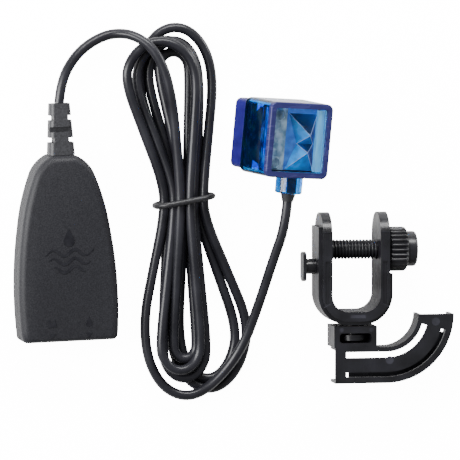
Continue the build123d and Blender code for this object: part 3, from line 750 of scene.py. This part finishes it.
# ---------------------------------------------------------------- level sensor, in its own frame
SENSOR_PLACE = (84.8, 47.3, 5.005)  # middle of the housing's back
SENSOR_ROLL = -4.2  # degrees, like the next two
SENSOR_YAW = 20.5
SENSOR_PITCH = 2.0
SENSOR_FRAME = (
    Matrix.Translation(Vector(SENSOR_PLACE) * MM)
    @ Matrix.Rotation(radians(SENSOR_ROLL), 4, "Z")
    @ Matrix.Rotation(radians(SENSOR_YAW), 4, "Y")
    @ Matrix.Rotation(radians(SENSOR_PITCH), 4, "X")
)
WINDOW_Z = 24.2
RAIL_TOP_Z = 27.2
SHROUD_LEFT = -13.2
PRISM_PEAK_Z = 29.5
# Foot corners and peak of each prism, in the order middle left, middle right, outer right, outer left.
UPPER_FOOT = [(3.0, -1.8), (10.9, -1.8), (11.9, 10.8), (-1.8, 10.8)]
UPPER_PEAK = (6.3, 2.1)
LOWER_FOOT = [(3.0, -1.8), (10.9, -1.8), (11.9, -12.9), (-1.8, -12.9)]
LOWER_PEAK = (5.6, -5.1)
PRISM_BASE = rectangle(-4.2, -13.0, 12.2, 13.0)
PRISM_BASE_SINK = 0.05
# Radius of the painted highlight lines along the prism edges.
EDGE_HIGHLIGHT_R = 0.13
# Painted bright lines on the dark sleeve, thin strips with a painted glow: height of each, its width, and
# its two ends along the sleeve.
STREAKS = [
    (23.8, 0.25, -9.4, 12.8),
    (25.1, 0.22, -12.9, 7.3),
    (26.7, 0.7, -13.1, 13.1),
    (28.1, 0.4, -13.3, 11.4),
    (29.1, 0.35, -13.3, 13.3),
]
STREAK_SINK = 0.01
SLEEVE_PROUD = 0.07  # how far the painted bright lines and bright corners stand out of the sleeve
# Painted bright corners on the sleeve, as (y, z).
BRIGHT_CORNERS = [
    [(10.6, 18.7), (13.5, 18.7), (13.5, 23.9), (12.5, 22.7), (12.8, 21.4)],
    [(-10.0, 18.7), (-11.0, 22.9), (-12.5, 24.1), (-13.5, 24.1), (-13.5, 18.7)],
]
LAMP_X = -8.6
LAMP_Y = (-10.0, 10.0)
LAMP_MOUNT = [(2.75, 0.0), (2.75, 0.6), (2.4, 0.8), (2.05, 0.8), (2.05, 0.0)]  # radius, height on the rail
BAR_Y = (-4.4, -2.2, 0.0, 2.2, 4.4)
BAR_LENGTH_HALF = 2.2
BAR_HALF = 0.35
BAR_HIGH = 0.35
# Colours of the facets, linear: painted light and shade of the clear prisms, each facet shading from its
# foot to its peak.
NAVY = (0.002, 0.012, 0.045)
DEEP = (0.004, 0.045, 0.17)
MIDDLE = (0.006, 0.13, 0.42)
AZURE = (0.012, 0.30, 0.78)
PALE = (0.08, 0.42, 0.85)
SPECKLED = (0.03, 0.12, 0.40)
SLATE = (0.045, 0.055, 0.16)
# Each prism's foot, its peak, and each facet's colours at its two foot corners and at the peak.
PRISMS = [
    (
        UPPER_FOOT,
        UPPER_PEAK,
        [(MIDDLE, DEEP, MIDDLE), (SLATE, SLATE, SLATE), (DEEP, NAVY, NAVY), (DEEP, MIDDLE, PALE)],
    ),
    (
        LOWER_FOOT,
        LOWER_PEAK,
        [(DEEP, NAVY, NAVY), (SLATE, SLATE, SLATE), (DEEP, AZURE, MIDDLE), (AZURE, MIDDLE, PALE)],
    ),
]


def sensor_point(x, y, z):
    return SENSOR_FRAME @ Vector((x * MM, y * MM, z * MM))


def sensor_block(low, high):
    """Box between two corners in the sensor's frame, in mm."""
    return plate(rectangle(*low[:2], *high[:2]), low[2], high[2], SENSOR_FRAME)


def store_facet_light(piece, colors):
    """Stores a painted light colour for every face corner; colors holds one list per face."""
    layer = piece.data.color_attributes.new("facet_light_paint", "FLOAT_COLOR", "CORNER")
    for polygon, corner_colors in zip(piece.data.polygons, colors):
        for loop, color in zip(polygon.loop_indices, corner_colors):
            layer.data[loop].color = (*color, 1)


def prism_points(foot, peak):
    """A prism's four foot corners and its peak, in the scene."""
    return [sensor_point(x, y, WINDOW_Z) for x, y in foot] + [sensor_point(*peak, PRISM_PEAK_Z)]


def prism_facets():
    """Two pyramid prisms on their base. Each facet is painted with the light and shade that the clear prism
    shows there, and the base with a painted speckled blue.
    """
    vertices, faces, colors = [], [], []
    for foot, peak, looks in PRISMS:
        start = len(vertices)
        vertices += prism_points(foot, peak)
        faces += [(start + k, start + (k + 1) % 4, start + 4) for k in range(4)]
        colors += looks
    start = len(vertices)
    vertices += [sensor_point(x, y, WINDOW_Z - PRISM_BASE_SINK) for x, y in PRISM_BASE]
    faces.append(tuple(range(start, start + 4)))
    colors.append([SPECKLED] * 4)
    facets = new_mesh("prism_facets", vertices, faces, smooth=False)
    store_facet_light(facets, colors)
    settle(facets, "root", FACET, "blue_clear", "prism_block")


def prism_edge_highlights():
    """Painted highlights: thin bright lines that rise from each prism's foot corners to its peak, along its
    edges.
    """
    highlight_curve = bpy.data.curves.new("prism_edge_highlights", "CURVE")
    highlight_curve.dimensions = "3D"
    highlight_curve.bevel_depth = EDGE_HIGHLIGHT_R * MM
    for foot, peak, _looks in PRISMS:
        *corners, top = prism_points(foot, peak)
        for corner in corners:
            line = highlight_curve.splines.new("POLY")
            line.points.add(1)
            for point, place in zip(line.points, (corner, top)):
                point.co = (*place, 1)
    settle(new_object("prism_edge_highlights", highlight_curve), "root", EDGE_HIGHLIGHT, "blue_clear")


def light_streaks():
    """Thin strips on the dark sleeve with a painted glow: the bright upright lines of light through the
    housing's side.
    """
    near_x, far_x = SHROUD_LEFT - SLEEVE_PROUD, SHROUD_LEFT + STREAK_SINK
    parts = [sensor_block((near_x, low, z), (far_x, high, z + width)) for z, width, low, high in STREAKS]
    settle(join("light_streaks", parts), "root", STREAK, "blue_clear")


def light_patches():
    """Azure corners at the ends of the dark sleeve, with a painted glow where the clear wall gathers light.
    """
    parts = []
    for corner in BRIGHT_CORNERS:
        sides = (SHROUD_LEFT - SLEEVE_PROUD, SHROUD_LEFT)
        parts.append(rings_mesh("part", [[sensor_point(x, y, z) for y, z in corner] for x in sides]))
    patches = join("light_patches", parts)
    smooth_by_angle(patches)
    settle(patches, "root", PATCH, "blue_clear")


def rail_details():
    """Round lens mounts at both ends of the white strip, and its moulded bars."""
    parts = []
    for lamp_y in LAMP_Y:
        rings = []
        for radius, rise in LAMP_MOUNT:
            circle = circle_points(LAMP_X, lamp_y, radius, count=32)
            rings.append([sensor_point(x, y, RAIL_TOP_Z + rise) for x, y in circle])
        parts.append(rings_mesh("part", rings))
    for y in BAR_Y:
        low = (LAMP_X - BAR_LENGTH_HALF, y - BAR_HALF, RAIL_TOP_Z)
        high = (LAMP_X + BAR_LENGTH_HALF, y + BAR_HALF, RAIL_TOP_Z + BAR_HIGH)
        parts.append(sensor_block(low, high))
    details = join("rail_details", parts)
    smooth_by_angle(details)
    settle(details, "root", RAIL, "rail_white")


# ---------------------------------------------------------------- clamp and guide
CLAMP_MID_Z = 10.0
SCREW_AXIS = (-2.1, CLAMP_MID_Z)  # y and z
SCREW_TIP = 113.2
SCREW_CORE_R = 3.5
SCREW_CREST = 0.75
SCREW_PITCH = 1.43
KNOB_X = 138.15
KNOB_RIBS = 26
RIB_DEPTH = 0.85
RIB_DEPTH_FACE = 0.3  # on the knob's two faces
RIM_R = 8.6  # the knob's ribs are at full depth beyond this radius
KNOB_PROFILE = [
    (0.0, 6.0),
    (0.0, 8.3),
    (0.15, 9.1),
    (0.5, 9.45),
    (6.6, 9.45),
    (7.3, 9.2),
    (7.75, 8.65),
    (7.9, 8.0),
    (7.9, 6.5),
]
SIDE_PEG_Y = -9.1
PEG_COLLAR = [(103.6, 2.9), (103.6, 3.25), (107.0, 3.25), (107.0, 2.9)]
GUIDE_TOP_Z = 18.0
CLAMP_TOP_Z = 20.0
MARK_SINK = 0.02
# Round marks on the guide: x, y, radius and height.
EJECTOR_MARKS = [
    (137.7, -48.7, 1.75, 0.14),
    (157.6, -32.6, 1.75, 0.14),
    (117.0, -35.7, 0.95, 0.12),
    (129.8, -35.7, 0.95, 0.12),
]
BLANK_PATCH = rectangle(120.4, -30.6, 127.0, -29.2)
BAND_LEFT = (109.0, 112.5)
BAND_RIGHT = (133.6, 137.1)
# Seams across the band: its two x, y, and how far the seam leans.
SEAMS = [(*BAND_LEFT, -25.2, 0.8), (*BAND_RIGHT, -25.2, -0.8), (*BAND_LEFT, 5.6, 0), (*BAND_RIGHT, 5.6, 0)]
SEAM_WIDTH = 0.35
CLAMP_MARK_HIGH = 0.1
THREAD_ROWS = 12  # rings in each turn of the thread
CREST_CUT = 1.25  # above 1, it cuts the thread's crest flat
SCREW_FLAT_IN = 0.7  # the screw's tip: a flat end, then a short cone
SCREW_CONE_IN = 0.6
SCREW_CONE_LONG = 0.3
RIB_STEPS = 12  # points round each of the knob's ribs
GROOVE_POWER = 1.6  # above 1, it narrows the grooves and widens the ribs


def thread_radius(x, radius, angle):
    """Adds a thread with a narrow flat crest, which winds round the core once per pitch."""
    phase = (x / SCREW_PITCH - angle / (2 * pi)) % 1.0
    crest = 1 - abs(2 * phase - 1)
    runout = min(1.0, max(0.0, (x - SCREW_TIP) / SCREW_PITCH))
    return radius + runout * SCREW_CREST * min(1.0, crest * CREST_CUT)


def thread_screw():
    """The clamp's screw, with a real helical thread."""
    rows = int((KNOB_X - SCREW_TIP) / SCREW_PITCH * THREAD_ROWS)
    profile = [(SCREW_TIP, SCREW_CORE_R - inward) for inward in (SCREW_FLAT_IN, SCREW_CONE_IN)]
    start = SCREW_TIP + SCREW_CONE_LONG
    profile += [(start + k * SCREW_PITCH / THREAD_ROWS, SCREW_CORE_R) for k in range(rows)]
    screw = lathe_x("thread_screw", profile, *SCREW_AXIS, steps=48, radius_at=thread_radius)
    smooth_by_angle(screw, 50)
    settle(screw, "knob", CLAMP, "clamp_black", "clamp_screw")


def rib_radius(_x, radius, angle):
    """Cuts narrow grooves between broad finger ribs, shallower on the knob's faces."""
    groove = (0.5 + 0.5 * cos(KNOB_RIBS * angle)) ** GROOVE_POWER
    return radius - (RIB_DEPTH if radius > RIM_R else RIB_DEPTH_FACE) * groove


def ribbed_knob():
    turned = [(KNOB_X + x, radius) for x, radius in KNOB_PROFILE]
    knob = lathe_x("ribbed_knob", turned, *SCREW_AXIS, steps=KNOB_RIBS * RIB_STEPS, radius_at=rib_radius)
    smooth_by_angle(knob, 40)
    settle(knob, "knob", CLAMP, "clamp_black", "screw_knob")


def guide_marks():
    """Round ejector marks on the guide's floor and on the peg's block."""
    low_z = GUIDE_TOP_Z - MARK_SINK
    parts = []
    for x, y, radius, height in EJECTOR_MARKS:
        parts.append(plate(circle_points(x, y, radius), low_z, GUIDE_TOP_Z + height))
    settle(join("guide_marks", parts), "hose_guide", CLAMP_MARK, "clamp_black")


def clamp_marks():
    """Mould seams across the band, and a blank patch at the middle of the base."""
    low_z, high_z = CLAMP_TOP_Z - MARK_SINK, CLAMP_TOP_Z + CLAMP_MARK_HIGH
    parts = [plate(BLANK_PATCH, low_z, high_z)]
    for x0, x1, y, lean in SEAMS:
        left_y, right_y = y - lean, y + lean
        seam = [(x0, left_y), (x1, right_y), (x1, right_y + SEAM_WIDTH), (x0, left_y + SEAM_WIDTH)]
        parts.append(plate(seam, low_z, high_z))
    settle(join("clamp_marks", parts), "clamp", CLAMP_MARK, "clamp_black")


def peg_collar():
    """Low collar round the side peg's stem."""
    collar = lathe_x("peg_collar", PEG_COLLAR, SIDE_PEG_Y, CLAMP_MID_Z, steps=48)
    smooth_by_angle(collar)
    settle(collar, "clamp", CLAMP, "clamp_black")


# ---------------------------------------------------------------- stage, light and camera
CAMERA_TARGET = (70.6, 6.7, 10.0)
CAMERA_AZIMUTH = -10.0
CAMERA_TILT = -4.0
CAMERA_DISTANCE = 2400.0
CAMERA_LENS = 446
FLOOR_HALF = 3.0  # metres
WORLD_STRENGTH = 0.3
LIGHT_AIM = (0.07, 0.0, 0.0)  # metres
# The tent's panels, in metres and watts: name, place, width, height and power.
PANELS = [
    ("left_panel", (-0.75, 0.15, 0.55), 0.35, 0.9, 18),
    ("top_panel", (0.1, 0.85, 0.6), 0.9, 0.3, 15),
    ("right_panel", (0.95, 0.5, 0.12), 0.2, 0.5, 5),
]


def camera():
    """Nearly straight down, a little from the left and from the lead's side, with a very long lens."""
    data = bpy.data.cameras.new("camera")
    data.lens = CAMERA_LENS
    holder = new_object("camera", data)
    turn = Matrix.Rotation(radians(CAMERA_AZIMUTH), 4, "Y") @ Matrix.Rotation(radians(CAMERA_TILT), 4, "X")
    target = Vector(CAMERA_TARGET) * MM
    holder.matrix_world = Matrix.Translation(target + turn @ Vector((0, 0, CAMERA_DISTANCE * MM))) @ turn
    bpy.context.scene.camera = holder


def floor():
    corners = rectangle(-FLOOR_HALF, -FLOOR_HALF, FLOOR_HALF, FLOOR_HALF)
    plane = new_mesh("floor", [(x, y, 0) for x, y in corners], [(0, 1, 2, 3)])
    set_material(plane, STAGE)


def softbox(name, place, width, height, power):
    """A rectangular light that faces the object."""
    light = bpy.data.lights.new(name, "AREA")
    light.shape = "RECTANGLE"
    light.size = width
    light.size_y = height
    light.energy = power
    holder = new_object(name, light)
    holder.location = place
    direction = Vector(LIGHT_AIM) - Vector(place)
    holder.rotation_euler = direction.to_track_quat("-Z", "Y").to_euler()


def lights():
    """A light tent: a soft world and panels at the left, beyond the lead's arch and at the right."""
    world = bpy.data.worlds.new("tent")
    bpy.context.scene.world = world
    world.use_nodes = True
    background = world.node_tree.nodes["Background"]
    background.inputs["Color"].default_value = (1, 1, 1, 1)
    background.inputs["Strength"].default_value = WORLD_STRENGTH
    for panel in PANELS:
        softbox(*panel)


# ---------------------------------------------------------------- the whole set
NODE_MATERIALS = {
    "controller_rear_shell": CASE,
    "case_screws": STEEL,
    "control_board": BOARD_GREEN,
    "power_jack": SOCKET,
    "power_jack_pin": BRASS,
    "pump_jack": SOCKET,
    "pump_jack_pin": BRASS,
    "microcontroller": CHIP,
    "buzzer": CHIP,
    "capacitors": CAN,
    "pump_driver": CHIP,
    "board_chips": CHIP,
    "lead_header": HEADER,
    "gland_boot": SOFT,
    "hank_tie": TIE,
    "knob_cap": CLAMP,
    "knob_washer": SOFT,
    "sensor_housing": BLUE,
    "sensor_gland": BLUE,
    "window_pane": WINDOW,
    "light_rail": RAIL,
    "infrared_lamps": LENS,
    "light_guide": GUIDE_LIGHT,
    "optics_shroud": SHROUD,
    "sensor_board": BOARD_DARK,
    "photo_receivers": CHIP,
    "sensor_magnet": NICKEL,
    "sensor_bezel": BEZEL,
    "magnet_shell": SLAB,
    "magnet_lid": SLAB,
    "magnet_pad": PAD,
    "holder_magnet": NICKEL,
}
for node_name, node_material in NODE_MATERIALS.items():
    set_material(nodes[node_name], node_material)

front_cover()
emblem()
socket_marks()
softened_copy("strain_relief", "root", SOFT, "soft_black", width=0.35)
make_cord()
prism_facets()
prism_edge_highlights()
light_streaks()
light_patches()
rail_details()
softened_copy("clamp_frame", "clamp", CLAMP, "clamp_black", width=0.45, segments=3)
softened_copy("tube_guide", "hose_guide", CLAMP, "clamp_black", width=0.3)
peg_collar()
thread_screw()
ribbed_knob()
guide_marks()
clamp_marks()
camera()
floor()
lights()
